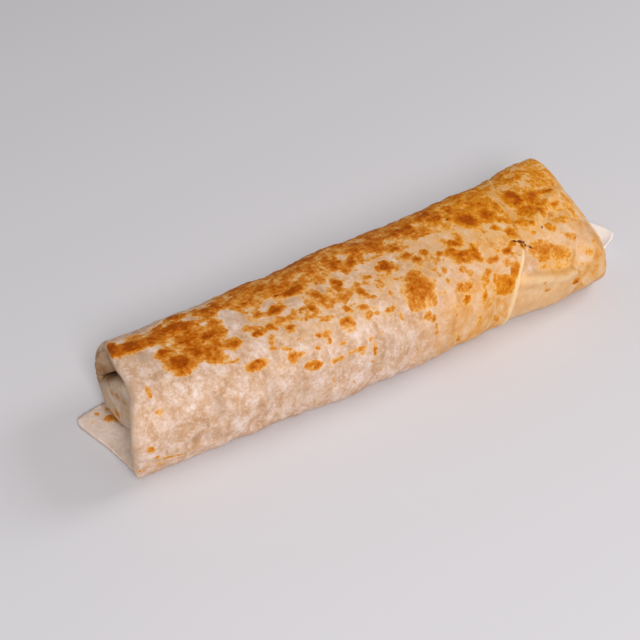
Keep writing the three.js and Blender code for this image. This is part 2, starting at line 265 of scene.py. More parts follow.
# Faces over rings that advance towards +X, each end drawn to a point.
def closed_skin(rings, first_pole, last_pole):
    wide = len(rings[0])
    points = np.concatenate([[first_pole], np.concatenate(rings), [last_pole]])
    k = np.arange(wide)
    following = (k + 1) % wide
    faces = [np.stack([0 * k, 1 + following, 1 + k], axis=-1).tolist()]
    for ring in range(len(rings) - 1):
        low = 1 + ring * wide
        high = low + wide
        faces.append(np.stack([low + k, low + following, high + following, high + k], axis=-1).tolist())
    end = 1 + (len(rings) - 1) * wide
    pole = 0 * k + len(points) - 1
    faces.append(np.stack([pole, end + k, end + following], axis=-1).tolist())
    return points, [face for band in faces for face in band]


def mesh_object(name, points, faces):
    data = bpy.data.meshes.new(name)
    data.from_pydata((points * 0.001).tolist(), [], faces)
    data.update()
    made = bpy.data.objects.new(name, data)
    bpy.context.scene.collection.objects.link(made)
    return made


burrito = mesh_object(
    "rolled_wheat_tortilla", *closed_skin(roll_rings, roll_rings[0].mean(axis=0), nose_middle)
)


# The folded-in ends
# At the left the sheet's end is folded in flat as a panel, with a pocket left above it where a hood of sheet
# hangs over. At the right the sheet's corner is folded over like the flap of an envelope. Each is a pillow:
# an outline of y and z, a face that looks out of its end, and a depth that runs into the roll.

PANEL = (
    (27.4, 14.6), (28.4, 9), (26.5, 4), (21, 2.6), (14, 3.4), (7, 5), (1, 7.8), (-6, 12.2), (-14, 18.5),
    (-22, 24.5), (-21, 31), (-10, 35), (1, 34), (8, 30.4), (18, 22.6),
)
HOOD = (
    (28.2, 26), (28.8, 20), (27, 16.6), (18, 24.4), (8, 32.4), (2, 36), (3, 39), (13, 38.6), (20, 36.2),
    (25.5, 31.5),
)
TUCK = (
    (31, 35), (10, 33), (-11, 26), (-19, 17), (-12, 10.5), (0, 7.2), (9, 6.8), (23, 13), (33, 21), (35.5, 28),
)
# How far each layer of a pillow is drawn in towards its middle, its share of the hollow, and its depth.
PILLOW_LAYERS = (
    (0.0, 1.0, 0.0), (0.0, 0.0, 6.0), (0.0, 0.0, 5.0), (0.004, 0.0, 4.3), (0.01, 0.0, 3.6),
    (0.02, 0.0, 2.9), (0.036, 0.0, 2.2), (0.056, 0.0, 1.6), (0.08, 0.0, 1.1), (0.11, 0.0, 0.7),
    (0.145, 0.0, 0.38), (0.19, 0.0, 0.13), (0.24, 0.05, 0.0), (0.3, 0.3, 0.0), (0.37, 0.6, 0.0),
    (0.45, 0.8, 0.0), (0.55, 0.92, 0.0), (0.65, 1.0, 0.0), (0.75, 1.0, 0.0), (0.85, 1.0, 0.0),
    (0.94, 1.0, 0.0),
)
PILLOW_POINTS = 150


# A closed curve through points, as a centripetal Catmull-Rom spline, at even spacing.
def closed_curve(corners, count, closed=True):
    corners = np.array(corners, float)
    size = len(corners)
    pieces = size if closed else size - 1
    walked = []
    for i in range(pieces):
        if closed:
            p0, p1, p2, p3 = (corners[(i + j) % size] for j in (-1, 0, 1, 2))
        else:
            p1, p2 = corners[i], corners[i + 1]
            p0 = corners[i - 1] if i else 2 * p1 - p2
            p3 = corners[i + 2] if i + 2 < size else 2 * p2 - p1
        d0, d1, d2 = (max(np.linalg.norm(b - a), 1e-6) ** 0.5 for a, b in ((p0, p1), (p1, p2), (p2, p3)))
        start = ((p1 - p0) / d0 - (p2 - p0) / (d0 + d1) + (p2 - p1) / d1) * d1
        end = ((p2 - p1) / d1 - (p3 - p1) / (d1 + d2) + (p3 - p2) / d2) * d1
        t = np.linspace(0, 1, 60, endpoint=False)[:, None]
        walked.append(hermite(t, p1, p2, start, end))
    path = np.concatenate(walked + [corners[:1] if closed else corners[-1:]])
    length = np.concatenate([[0], np.cumsum(np.linalg.norm(np.diff(path, axis=0), axis=1))])
    places = np.linspace(0, length[-1], count, endpoint=not closed)
    return np.stack([np.interp(places, length, path[:, c]) for c in range(path.shape[1])], axis=-1)


def pillow(name, outline, face, backwards, hollow, deep, sunken_top=0.0, sunken_front=0.0, inwards=1.0):
    edge = closed_curve(outline, PILLOW_POINTS)
    middle = edge.mean(axis=0)
    rings = []
    for drawn, share, depth in PILLOW_LAYERS:
        depth = deep if drawn == 0 and share == 1 else depth + share * hollow
        at = edge + (middle - edge) * drawn
        tilt = backwards * smooth(3, 30, at[:, 0]) * smooth(46, 22, at[:, 1])
        tilt = tilt + sunken_top * smooth(17, 36, at[:, 1]) + sunken_front * smooth(-3, -19, at[:, 0])
        rings.append(np.stack([face + tilt + inwards * depth, at[:, 0], at[:, 1]], axis=-1))
    return mesh_object(name, *closed_skin(rings, rings[0].mean(axis=0), rings[-1].mean(axis=0)))


PANEL_FACE = -124.0
HOOD_FACE = -118.6
TUCK_FACE = 112.6
panel = pillow("folded-in panel", PANEL, PANEL_FACE, backwards=0.8, hollow=-0.7, deep=21.0, sunken_front=5.0)
hood = pillow("hood over the pocket", HOOD, HOOD_FACE, backwards=-5.6, hollow=0.6, deep=20.0)
tuck = pillow(
    "tuck over the right end", TUCK, TUCK_FACE, backwards=-0.6, hollow=-0.4, deep=12.0, sunken_top=-6.0,
    inwards=-1.0,
)


# The ears
# Where a fold of the sheet has nowhere to go it sticks out at the foot of the end as a flat corner, thin at
# its rim and thicker at its root. The left one is broad and lies on the floor, the right one is pointed.
LEFT_ROOT = ((-113, -15), (-112, 0), (-114, 12))
LEFT_CORNER = (
    (-128.6, -18), (-131.8, 0.8), (-136.2, 19.6), (-135.8, 22), (-130, 24), (-121, 25), (-117, 19),
)
RIGHT_ROOT = ((104, 20), (101, 10), (102, -8))
RIGHT_CORNER = (
    (110, 26), (117, 25), (126, 13), (132.2, 2), (132.4, -2.5), (124, -7.5), (113, -11),
)


EAR_ACROSS = 90
EAR_STEPS = 26


def ear(name, root, corner, root_height, rim_height, rim_lift):
    inner = closed_curve(root, EAR_ACROSS, closed=False)
    outer = closed_curve(corner, EAR_ACROSS, closed=False)
    out = np.linspace(0, 1, EAR_STEPS)[:, None]
    rings = []
    for start, end in zip(inner, outer):
        underside = start + (end - start) * out
        upper = start + (end - start) * out[::-1] * 0.995
        under_z = rim_lift * out * out
        upper_z = root_height + (rim_height - root_height) * (1 - (1 - out[::-1]) ** 1.6)
        upper_z = upper_z + rim_lift * out[::-1] ** 2
        flat = np.concatenate([underside, upper])
        rings.append(np.concatenate([flat, np.concatenate([under_z, upper_z])], axis=1))
    return mesh_object(name, *closed_skin(rings, rings[0].mean(axis=0), rings[-1].mean(axis=0)))


left_ear = ear("left ear", LEFT_ROOT, LEFT_CORNER, root_height=7.5, rim_height=1.7, rim_lift=0.6)
right_ear = ear("right ear", RIGHT_ROOT, RIGHT_CORNER, root_height=8.0, rim_height=1.8, rim_lift=5.6)


# One piece of bread
# The folds belong to one sheet, so the pieces are joined to one closed body.
def join_to(body, others):
    folds = bpy.data.collections.new("folds")
    for other in others:
        bpy.context.scene.collection.objects.unlink(other)
        folds.objects.link(other)
    bpy.context.scene.collection.children.link(folds)
    joining = body.modifiers.new("one sheet", "BOOLEAN")
    joining.operation = "UNION"
    joining.operand_type = "COLLECTION"
    joining.collection = folds
    joining.solver = "MANIFOLD"
    bpy.context.view_layer.update()
    evaluated = body.evaluated_get(bpy.context.evaluated_depsgraph_get())
    joined = bpy.data.meshes.new_from_object(evaluated)
    body.modifiers.remove(joining)
    body.data = joined
    for other in others:
        bpy.data.objects.remove(other)
    bpy.data.collections.remove(folds)
    return joined


skin_mesh = join_to(burrito, [panel, hood, tuck, left_ear, right_ear])
print("joined:", len(skin_mesh.vertices), "vertices", len(skin_mesh.polygons), "faces")


# Where each point of the skin lies on the sheet: along the roll, and round it from the top line, down the
# front being positive. The browning is laid out on these two lengths.
def vertex_positions(mesh):
    flat = np.empty(len(mesh.vertices) * 3, np.float32)
    mesh.vertices.foreach_get("co", flat)
    return flat.reshape(-1, 3).astype(float) * 1000


def angle_of_point(point):
    x, y, z = point.T
    half_width = along(WIDTH, x) / 2
    middle = along(HEIGHT, x) / 2
    across = (y - along(SIDE, x)) / half_width
    z = z / (1 - along(DROP, x) * (1 - np.clip(across, -1, 1)) / 2)
    up = (z - middle) / np.where(z > middle, middle, middle + FLOOR_SINK)
    exponent = np.where(up > 0, TOP_SQUARENESS, BASE_SQUARENESS) / 2
    turned = np.arctan2(signed_power(up, exponent), signed_power(across, exponent))
    return np.where(turned < LONG_EDGE_ANGLE, turned + math.tau, turned)


# One on the outline of the roll, and less inside it.
def roundness(point):
    x, y, z = point.T
    middle = along(HEIGHT, x) / 2
    across = np.abs(y - along(SIDE, x)) / (along(WIDTH, x) / 2)
    up = (z - middle) / np.where(z > middle, middle, middle + FLOOR_SINK)
    exponent = np.where(up > 0, TOP_SQUARENESS, BASE_SQUARENESS)
    return across**exponent + np.abs(up) ** exponent


MEAN_HALF_WIDTH = 31.5
MEAN_HALF_HEIGHT = 22.3


def round_length(angle):
    fine = np.linspace(-math.pi / 2, 1.5 * math.pi, 4001)
    exponent = 2 / np.where(np.sin(fine) > 0, TOP_SQUARENESS, BASE_SQUARENESS)
    y = signed_power(np.cos(fine), exponent) * MEAN_HALF_WIDTH
    z = signed_power(np.sin(fine), exponent) * MEAN_HALF_HEIGHT
    walked = np.concatenate([[0], np.cumsum(np.hypot(np.diff(y), np.diff(z)))])
    walked = walked - np.interp(math.pi / 2, fine, walked)
    return np.interp(angle, fine, walked)


points = vertex_positions(skin_mesh)
point_angle = angle_of_point(points)
lay_x = points[:, 0]
lay_s = round_length(point_angle)


# How far into an oval patch each point lies: one in its middle, and nothing well past its rim.
def blot(x, s, half_x, half_s, turned):
    turned = math.radians(turned)
    dx = lay_x - x
    ds = lay_s - s
    along_it = (dx * math.cos(turned) + ds * math.sin(turned)) / half_x
    across_it = (-dx * math.sin(turned) + ds * math.cos(turned)) / half_s
    return np.clip(1.45 - np.hypot(along_it, across_it), 0, 1)


# Inside the ends the sheet is folded away: no griddle touched it, and no fold of the outside runs there.
inside_left = (lay_x < around_roll(LEFT_RIM, point_angle)) | (
    (lay_x < -105) & (roundness(points) < 0.87) & (points[:, 2] > 1)
)
beyond_right = lay_x > around_roll(RIGHT_END, point_angle) + 0.2
folded_away = inside_left | beyond_right


# Folds that stand on the skin: each is a line of x and length round the roll, walked so that, seen from
# outside, the raised side is on its left. The skin climbs gently to the line and drops sharply beyond it.
def beside_line(line):
    nearest = np.full(len(lay_x), 1e9)
    side = np.zeros(len(lay_x))
    for (x0, s0), (x1, s1) in zip(line, line[1:]):
        dx = x1 - x0
        ds = s1 - s0
        t = np.clip(((lay_x - x0) * dx + (lay_s - s0) * ds) / (dx * dx + ds * ds), 0, 1)
        away = np.hypot(lay_x - x0 - t * dx, lay_s - s0 - t * ds)
        turned = dx * (lay_s - s0) - ds * (lay_x - x0)
        closer = away < nearest
        nearest = np.where(closer, away, nearest)
        side = np.where(closer, np.sign(turned), side)
    return nearest * np.where(side == 0, 1, side)


def fold(line, height, run, drop):
    beyond = beside_line(line)
    return height * np.where(beyond < 0, 1 - smooth(0, run, -beyond), 1 - smooth(0, drop, beyond))


def crease(line, depth, wide):
    return -depth * np.exp(-((beside_line(line) / wide) ** 2))


def hollow(x, s, half_x, half_s, turned, depth):
    return -depth * smooth(0, 1, blot(x, s, half_x, half_s, turned))


# At the right end the flap is folded over the nose: each fold's line, height, run up to it, drop beyond it.
RIGHT_FOLDS = (
    (((81, 38.6), (77, 39), (72, 38.6), (67, 37.4), (62, 36.3), (54, 34.8), (40, 33)), 0.9, 7.0, 1.1),
    (((70, 13), (77.5, 10), (83.5, 6.5), (90, 3.5), (97, 1)), 1.0, 5.0, 1.1),
    (((61, 8), (66, 10), (72, 9)), 0.35, 4.0, 1.0),
    (((88, 44), (93, 38), (97, 30), (98, 22)), 0.4, 7.0, 2.0),
)
# The buttered sheet puckers round the flap: x, length round the roll, half sizes, turn in degrees, depth.
RIGHT_PUCKERS = (
    (84, 11.5, 6, 3, -20, 0.5), (93, 9, 4, 4, 0, 0.5), (82, 36, 3.4, 1.6, -20, 0.8),
)
# Soft hollows between the lumps of filling on the pale front.
FRONT_HOLLOWS = (
    (-96, 35, 3.6, 9, 0, 0.9), (-86, 31, 3, 6, 10, 0.7), (-72, 37, 3, 9, -4, 1.0),
    (-59.5, 34, 2.2, 8, -6, 1.1), (-53, 45, 2.6, 9, -8, 0.7), (-44, 44, 2.2, 8, 0, 0.6),
    (-36, 41, 2, 7, -8, 0.6), (-24, 37, 2, 5, 0, 0.5), (-19, 44, 2.4, 8, -6, 0.7),
    (-6, 45, 2.4, 8, 4, 0.6), (6, 43, 2.2, 8, 0, 0.6), (17, 41, 2, 9, 8, 0.6), (28, 39, 2, 8, 10, 0.5),
    (-112, 40, 4, 6, 20, 0.7), (-104, 50, 8, 3, 10, 0.8), (-116, 24, 3, 6, 0, 0.5),
    (-78, 50, 7, 3, -10, 0.6), (69, 46, 3, 5, 20, 0.5), (58, 44, 2.4, 7, 10, 0.4),
)
# Thin creases where the sheet is pulled tight at the foot of the left end, and along the crown.
THIN_CREASES = (
    (((-131, 47), (-124, 51), (-113, 54)), 0.5, 0.8), (((-128, 53), (-118, 56), (-104, 57)), 0.5, 0.8),
    (((-122, -9), (-118, 4), (-121, 14)), 0.4, 1.2), (((-112, -16), (-104, -19), (-96, -20)), 0.35, 1.2),
    (((-76, -10), (-70, -2), (-73, 4)), 0.3, 1.0), (((40, -15), (46, -13), (53, -10)), 0.35, 1.0),
    (((20, 24), (24, 34), (22, 46)), 0.3, 0.9), (((31, 26), (35, 36), (33, 48)), 0.35, 0.9),
    (((14, 30), (16, 40), (14, 50)), 0.3, 0.9), (((66, -20), (68, -12), (66, -4), (66, 4)), 0.35, 1.2),
)

to_lip = around_roll(SLANTING_EDGE, point_angle) - lay_x
before_lip = smooth(-0.4, -1.6, to_lip)
up_to_lip = smooth(-0.6, 0.2, to_lip)
raised = np.zeros(len(points))
for line, height, run, drop in RIGHT_FOLDS:
    raised = raised + fold(line, height, run, drop)
for pucker in RIGHT_PUCKERS:
    raised = raised + hollow(*pucker)
raised = raised * before_lip
# The band of sheet along the slanting edge curls up a little towards its lip.
raised = raised + 0.75 * smooth(9, 0.5, to_lip) * up_to_lip * smooth(12, 26, lay_s)
raised = raised + 0.3 * smooth(5, 0.5, to_lip) * up_to_lip * smooth(12, 0, lay_s)
raised = raised - 0.5 * smooth(5, 9, to_lip) * smooth(16, 9, to_lip) * smooth(16, 30, lay_s)
for front_hollow in FRONT_HOLLOWS:
    raised = raised + hollow(*front_hollow)
for line, depth, wide in THIN_CREASES:
    raised = raised + crease(line, depth, wide)

normals = np.empty(len(points) * 3, np.float32)
skin_mesh.vertices.foreach_get("normal", normals)
raised = np.where(folded_away, 0, raised) * smooth(-29, -24, lay_s) * smooth(64, 58, lay_s)
lifted = points + normals.reshape(-1, 3) * raised[:, None]
skin_mesh.vertices.foreach_set("co", (lifted * 0.001).astype(np.float32).ravel())


# Patches that the griddle has browned: x, length round the roll, half sizes, turn in degrees, heat.
LEFT_SHOULDER = (
    (-120, -14, 3, 7, 8, 0.85), (-114, -11.5, 6, 5.4, 12, 0.9), (-107, -10, 7, 4.6, 6, 0.85),
    (-100, -11, 7, 5.4, -4, 0.85), (-92, -12, 7, 6.4, 0, 0.95), (-90, -20, 6, 4, 0, 0.8),
    (-80, -14, 5, 6.4, 0, 0.95), (-98, -18, 8, 3, 0, 0.62), (-71, -16, 6, 4.6, 0, 0.75),
    (-110, -17, 6, 3, 0, 0.58), (-92, -5, 9, 3.6, 0, 0.72), (-103, -4.5, 2.4, 2.4, 0, 0.6),
)
LEFT_LOBE = (
    (-104, 1.8, 4.4, 4.4, 0, 0.86), (-101.5, 9.5, 6.4, 6.4, 6, 1.0), (-94, 5, 7, 7, 0, 0.88),
    (-88, 10.5, 5, 8, -16, 0.68), (-84, 1, 6, 5.6, 0, 0.8), (-93, -3, 7, 4, 0, 0.8),
    (-80, -4, 4, 5, 0, 0.72), (-82.5, 18.8, 3, 1, 0, 0.55), (-79, 10, 3.4, 3.6, 20, 0.82),
)
MIDDLE_ISLANDS = (
    (-70, 4.5, 2.4, 2.4, 0, 0.6), (-66.5, 10, 4, 2.2, -10, 0.72), (-61.5, 9, 2.4, 2.4, 0, 0.72),
    (-64.5, 15.5, 1.6, 3.6, 20, 0.6), (-66.5, 20, 2.2, 1.2, 0, 0.5), (-75, 24, 5, 2.6, 0, 0.62),
    (-60.5, 22.5, 4, 1.3, 35, 0.54), (-57, 26.5, 3.4, 1.3, 12, 0.54), (-53, 33, 4, 2.2, 15, 0.64),
    (-43, 35, 6, 1.5, 5, 0.46), (-32, 34.5, 6, 1.4, 0, 0.44), (-25, 37, 1.3, 3.2, 0, 0.62),
    (-26.5, 43, 1.4, 1.2, 0, 0.4), (-54.5, 1.5, 4.4, 3.2, 0, 0.88), (-43, -3.5, 6.5, 3, 0, 0.95),
    (-37, 4.5, 3, 5.5, -15, 0.8), (-26, 3.5, 2.6, 5.5, 12, 0.68), (-14, -6, 4.4, 2.4, -10, 0.88),
    (-18, -3, 2, 2.4, 0, 0.7), (-19.5, 10.5, 3.2, 2.4, 15, 0.7), (-12, 5.2, 2.4, 1.1, 0, 0.55),
    (-12, 9.5, 1.8, 1.4, 0, 0.5), (-16.5, 16, 1.8, 1.3, 0, 0.5), (-40, 16.5, 4.6, 1.8, 0, 0.42),
    (-33, 22.5, 3.6, 3.6, 0, 0.56), (-30, 16, 2, 2, 0, 0.5), (-24, 18, 3.4, 2, 15, 0.5),
    (-26.5, 14.8, 1.8, 1.2, 0, 0.45), (-2.5, 3.2, 5, 3.3, 0, 0.95), (9.5, 2.6, 3, 2.4, -15, 0.74),
    (7, -4, 4, 1.9, 0, 0.8), (-13, 23.5, 2.4, 1.3, 0, 0.45), (-19, 23, 1.8, 1.3, 0, 0.42),
    (-10, 28, 1.2, 2.2, 0, 0.45), (2.5, 21, 7.4, 7.8, 0, 0.72), (4.5, 14, 4.4, 3.8, -20, 0.66),
    (-1.5, 26, 3.6, 3.6, 0, 0.55), (6.5, 28.5, 2, 2, 0, 0.5), (1.5, 32.5, 3, 2.4, 0, 0.42),
    (17, 23, 2, 2, 0, 0.5), (21, 28, 3.6, 2.6, 0, 0.52), (12, 26, 2.4, 1.2, 0, 0.45),
    (-46, 22, 1.6, 1.2, 0, 0.5), (-49, 27, 1.4, 1.0, 20, 0.46), (-38.5, 29, 2.2, 1.0, 0, 0.5),
    (-43, 26, 1.2, 1.6, 0, 0.45), (-36, 12, 2.6, 1.6, 0, 0.55), (-23, 22, 2.2, 1.8, 0, 0.55),
    (-9, 17, 1.4, 1.6, 0, 0.5), (-21, 31, 1.4, 1.0, 0, 0.4), (11, 20, 1.6, 1.2, 0, 0.45),
    (14, 15, 2.2, 1.6, 0, 0.5), (19, 17, 1.6, 2.2, 0, 0.55), (16, 34, 2.6, 1.6, 10, 0.45),
    (-62, -1, 2.4, 4, 0, 0.6), (-62, -9, 4, 4, 0, 0.75), (-52, -15, 4, 5, 0, 0.8),
    (-35, -15, 5, 4, 0, 0.8),
)
RIGHT_OF_MIDDLE = (
    (32, 7.5, 4, 2.6, 20, 0.85), (27, 10.5, 3.4, 2.6, 0, 0.78), (31, 15.5, 6.4, 3.6, 0, 0.76),
    (22.5, 8.5, 1.6, 1.6, 0, 0.7), (26.7, 21, 1.8, 1.7, 0, 0.66), (37, 20, 2.4, 1.4, 10, 0.62),
    (42.5, 22.3, 5, 1.8, 5, 0.74), (50, 20.5, 4, 1.7, -12, 0.76), (55, 18, 3, 1.6, -15, 0.84),
    (46, -3.5, 5.8, 6.8, 0, 1.1), (56, -1, 5.4, 5, 0, 0.95), (57.5, -5, 2.4, 2, 0, 0.9),
    (63, -6, 2.6, 13, 0, 0.6), (58.5, 12, 2.4, 5, 12, 0.74), (60, 4, 2.5, 4, 0, 0.6),
    (43.5, 35.5, 5.6, 5, 15, 0.74), (50, 30, 2.4, 5, 25, 0.68), (40, 31.5, 2, 3.5, 0, 0.5),
    (36, 27, 4, 1.8, -20, 0.5), (24, 28, 4.4, 2.4, 0, 0.52), (22.5, 33.5, 2.8, 2.4, 0, 0.52),
    (32, 35, 1.6, 5, 8, 0.5), (31, -15, 6, 6, 0, 0.95), (35, -11, 5, 3, 0, 0.9),
    (20, -12, 6, 6, 0, 0.8), (13, -13, 5, 5, 0, 0.75), (29, 46, 3.4, 2.2, -20, 0.46),
    (35, 42, 2, 3, 0, 0.36),
)
RIGHT_END_PATCHES = (
    (74, -5, 6, 7, 0, 0.92), (74.5, 4.5, 6.4, 4.6, 0, 0.82), (82, -1, 6, 6.5, 0, 0.8),
    (91, -1.8, 5, 2, 8, 0.85), (90.5, 6, 3.6, 1.4, -10, 0.66), (84, -15, 10, 4, 0, 0.52),
    (98, -14, 3.4, 9, -10, 0.5), (99, 3, 1.8, 10, 0, 0.45), (86, 3, 4, 2, -20, 0.55),
    (67, 10, 3.4, 2.6, 15, 0.68), (86.5, 14.8, 4.4, 3.2, 0, 0.62), (77.5, 16.2, 2.8, 2.6, 0, 0.56),
    (68, 16, 1.8, 1.6, 0, 0.5), (96.5, 12, 1.8, 6, 0, 0.5), (66.5, 25.5, 7, 6, 0, 0.58),
    (75.5, 29, 6.4, 4.8, 15, 0.54), (65, 33, 6, 2.4, 10, 0.3), (74, 34.5, 7, 2.6, 0, 0.34),
    (85.5, 24, 2.6, 2.4, 0, 0.5), (87, 38.5, 3, 1.6, -30, 0.34), (65, 41, 1.2, 1, 0, 0.45),
    (67.3, 46.5, 1.6, 2, 0, 0.5), (83, 46.5, 2.2, 2.2, 0, 0.85), (96, 42, 2.4, 3, 0, 0.34),
    (92, 33, 6, 5, 0, 0.3), (97, 30, 2.4, 5, 0, 0.34),
)
PALE_FRONT_SPOTS = (
    (-119, 17.5, 1.4, 4.0, 10, 0.38), (-118.5, 27.5, 2.8, 2.6, 0, 0.34), (-126, 42, 1.8, 3, -35, 0.4),
    (-123.5, 48, 1.8, 1.5, 20, 0.38), (-118.5, 51.5, 4.5, 1.3, 30, 0.38), (-123, 53, 2, 1.4, 0, 0.38),
    (-113.5, 53.5, 2.4, 1, 20, 0.36), (-131, 52, 1.4, 1.8, 0, 0.38), (-85, 29, 4, 2.4, 0, 0.2),
    (-44, 46, 0.8, 5, -12, 0.34), (-35, 50, 0.8, 2.4, -25, 0.34), (-8, 49, 1, 1.2, 0, 0.32),
    (6, 42, 1.4, 6, 6, 0.32), (18, 51, 1.6, 5, -25, 0.4), (40, 52, 2, 5, -30, 0.3),
)
# Pale places inside the browned ones, where the dough stood clear of the plate.
CLEAR = (
    (-104, -21, 9, 1.6, -8, 0.4), (-86.5, -14, 5, 1.5, 28, 0.8), (-83, -7, 1.6, 1.6, 0, 0.5),
    (-108, -3, 5, 1.8, 0, 0.8), (-97, 9, 1.2, 3, 20, 0.25), (-90, 4, 2.4, 1.6, 0, 0.25),
    (-55, -4.5, 3.2, 2.2, 0, 0.6), (-46.5, 2, 2.6, 2.6, 0, 0.5), (-33, 2, 1.3, 3.2, 20, 0.6),
    (-14, -11, 2.4, 3, 0, 0.7), (-3, -6, 4.4, 1.4, 0, 0.6), (-3, -2, 5, 1.0, 0, 0.5),
    (3, 9, 9, 1.8, -6, 0.5), (-71, -3, 3.4, 5, 0, 0.6), (37, -7, 1.6, 1.6, 0, 0.5),
    (41, -14, 3.4, 1.4, -30, 0.5), (18, 5, 4, 3, 0, 0.3), (52, 9, 7, 3.6, 0, 0.4),
    (66.8, -6, 1.8, 10, 4, 0.7), (84, 10, 5, 2, -20, 0.5), (88, -9, 4, 2.6, 0, 0.4),
    (94, 4, 2.6, 2, 0, 0.3), (27, -2, 2.4, 1.4, 0, 0.4), (60, 30, 4, 4, 0, 0.6),
    (-24, -11, 3, 2, 0, 0.3), (-40, -10, 3, 1.8, 0, 0.35), (8, -9, 5, 1.6, 0, 0.4),
    (-64, -5, 2, 3, 0, 0.3), (-20, 1, 1.6, 2.6, 0, 0.4),
)
# Places where the wet filling shows grey through the sheet, and grey shade painted in the hollows of the
# front and by the puckers.
STEAMED_AND_SHADED = (
    (-113, -1, 4, 2.6, 0, 0.7), (-109, 1, 3, 2, 0, 0.4), (-72, -5, 3, 5, 0, 0.7),
    (-67, 2, 3, 3, 0, 0.4), (-46, 2, 3, 3, 0, 0.5), (-33, 2, 1.6, 3.4, 20, 0.7),
    (-37, 9.5, 1.4, 1.6, 0, 0.7), (-14, -11, 2.6, 3, 0, 0.5), (-7, 9, 6, 1.6, -6, 0.4),
    (11, 15, 3.4, 5, 0, 0.4), (38, -7, 2, 2, 0, 0.5), (66.8, -8, 2, 9, 4, 0.7),
    (83, 9.5, 6, 2, -24, 0.7), (42, 13, 4, 4, 0, 0.4), (82, 36, 3.4, 1.8, -20, 0.7),
    (64, 15, 1.4, 2.4, 0, 0.6), (-96, 34, 3, 6, 0, 0.5), (-73, 36, 3, 7, 0, 0.45),
    (-86, 29, 4, 3, 0, 0.35), (-17, 37, 1.6, 5, -20, 0.35), (-93, 51, 6, 2, 0, 0.4),
    (18, 4, 4, 3, 0, 0.5), (-59, 42, 2, 7, -10, 0.35), (70, -20, 4, 5, 0, 0.4),
)
# Patches that lay flat on the plate: evenly browned, with a clear rim.
EVEN = (
    (2.5, 21, 9, 11, 0, 0.8), (49, -3, 12, 8, 0, 0.55), (66.5, 26, 8, 7, 0, 0.85),
    (76, 31, 8, 6, 15, 0.8), (43.5, 35.5, 8, 7, 15, 0.6), (50, 30, 3, 6, 25, 0.6),
    (76, -1, 11, 10, 0, 0.45), (92, 34, 10, 12, 0, 0.8), (98, -4, 5, 24, 0, 0.7),
    (-100, 7, 8, 8, 0, 0.35), (-75, 24, 7, 4, 0, 0.4), (63, -6, 3, 14, 0, 0.6), (-78, 10, 4, 4, 0, 0.4),
    (-121, 36, 10, 24, 0, 0.95),
)
# Singed specks, the longest run of them across the top of the slanting edge.
SINGED = (
    (56.4, 17.4, 1.9, 0.7, 25, 1.0), (58.6, 18.8, 1.7, 1.0, 45, 1.0), (60.2, 20.4, 1.6, 1.0, 30, 1.0),
    (62.2, 22, 1.7, 0.7, 45, 0.95), (58.2, 20.4, 1.2, 0.5, 80, 0.8), (61, 18.8, 1.2, 0.5, -10, 0.8),
    (53, 18.2, 1.0, 0.5, 0, 0.7), (4, 0, 0.8, 0.7, 0, 0.75), (-50, -5.5, 1.2, 0.9, 0, 0.7),
    (73.5, 15, 0.8, 0.7, 0, 0.8), (38.5, -7.5, 1.0, 0.9, 0, 0.65), (77, -5, 0.9, 0.7, 0, 0.65),
    (72, -1.5, 0.9, 0.7, 0, 0.6), (-101, 11.4, 1.6, 1.0, 0, 0.55), (83, 46.4, 0.7, 0.9, 0, 0.6),
)


# The strongest of a table's patches at each point, each with a level middle where a fade is given.
def strongest(patches, fade=0.0):
    field = np.zeros(len(points))
    for *place, amount in patches:
        patch = blot(*place)
        if fade:
            patch = smooth(0, fade, patch)
        field = np.maximum(field, amount * patch)
    return field


heat = strongest(
    LEFT_SHOULDER + LEFT_LOBE + MIDDLE_ISLANDS + RIGHT_OF_MIDDLE + RIGHT_END_PATCHES + PALE_FRONT_SPOTS
)
char = strongest(SINGED)
even = strongest(EVEN, fade=0.6)
steamed_and_shaded = strongest(STEAMED_AND_SHADED, fade=1.0)


# Inside the left end there are spots on the panel, as y, z, radius and heat, and spots on the ear, as x, y,
# radius and heat. Olive-brown shade is painted along the creases and the pocket, as a line of x, y and z, its
# width and its strength.
PANEL_SPOTS = (
    (6.8, 13.2, 2.3, 0.58), (10.6, 21.5, 2.2, 0.33), (4.4, 24.5, 2.1, 0.33), (-2, 26, 2.0, 0.34),
    (17.5, 11, 1.8, 0.3), (0.5, 17, 1.5, 0.32),
)
EAR_SPOTS = (
    (-125, 15, 1.9, 0.5), (-122.6, 12.6, 1.5, 0.55), (-128, 20.5, 1.4, 0.34), (-120, -1.2, 1.6, 0.8),
    (-127.4, -16.4, 1.5, 0.42), (-124.5, -11.6, 1.8, 0.36), (-131.5, 17, 1.2, 0.3), (-123, 21, 1.5, 0.34),
)
POCKET_SHADE_LINES = (
    (((-122, 28, 17), (-121, 22, 22), (-120, 12, 30.5), (-118, 3, 36)), 9.0, 0.9),
    (((-123, 22, 22), (-121, 15, 29), (-119, 8, 34)), 6.0, 0.8),
    (((-122, -6, 6), (-122, -12, 10), (-120, -17, 15)), 4, 0.9),
    (((-123, 27, 3), (-123, 14, 3.4), (-122, 7, 5.4), (-121, -4, 11), (-119, -13, 18)), 2.2, 0.8),
    (((-119, -13, 15), (-118, -18, 22), (-118, -18, 31), (-118, -10, 36)), 6, 0.75),
    (((-125, 10, 22), (-125, 4, 25), (-125, -3, 28)), 3.6, 0.45),
    (((-123, 28, 24), (-121, 22, 31), (-119, 14, 36)), 6.5, 0.8),
)
EAR_TOP = 8.5


def off_line(line):
    nearest = np.full(len(points), 1e9)
    for start, end in zip(np.array(line[:-1], float), np.array(line[1:], float)):
        step = end - start
        t = np.clip((points - start) @ step / (step @ step), 0, 1)[:, None]
        nearest = np.minimum(nearest, np.linalg.norm(points - start - t * step, axis=1))
    return nearest


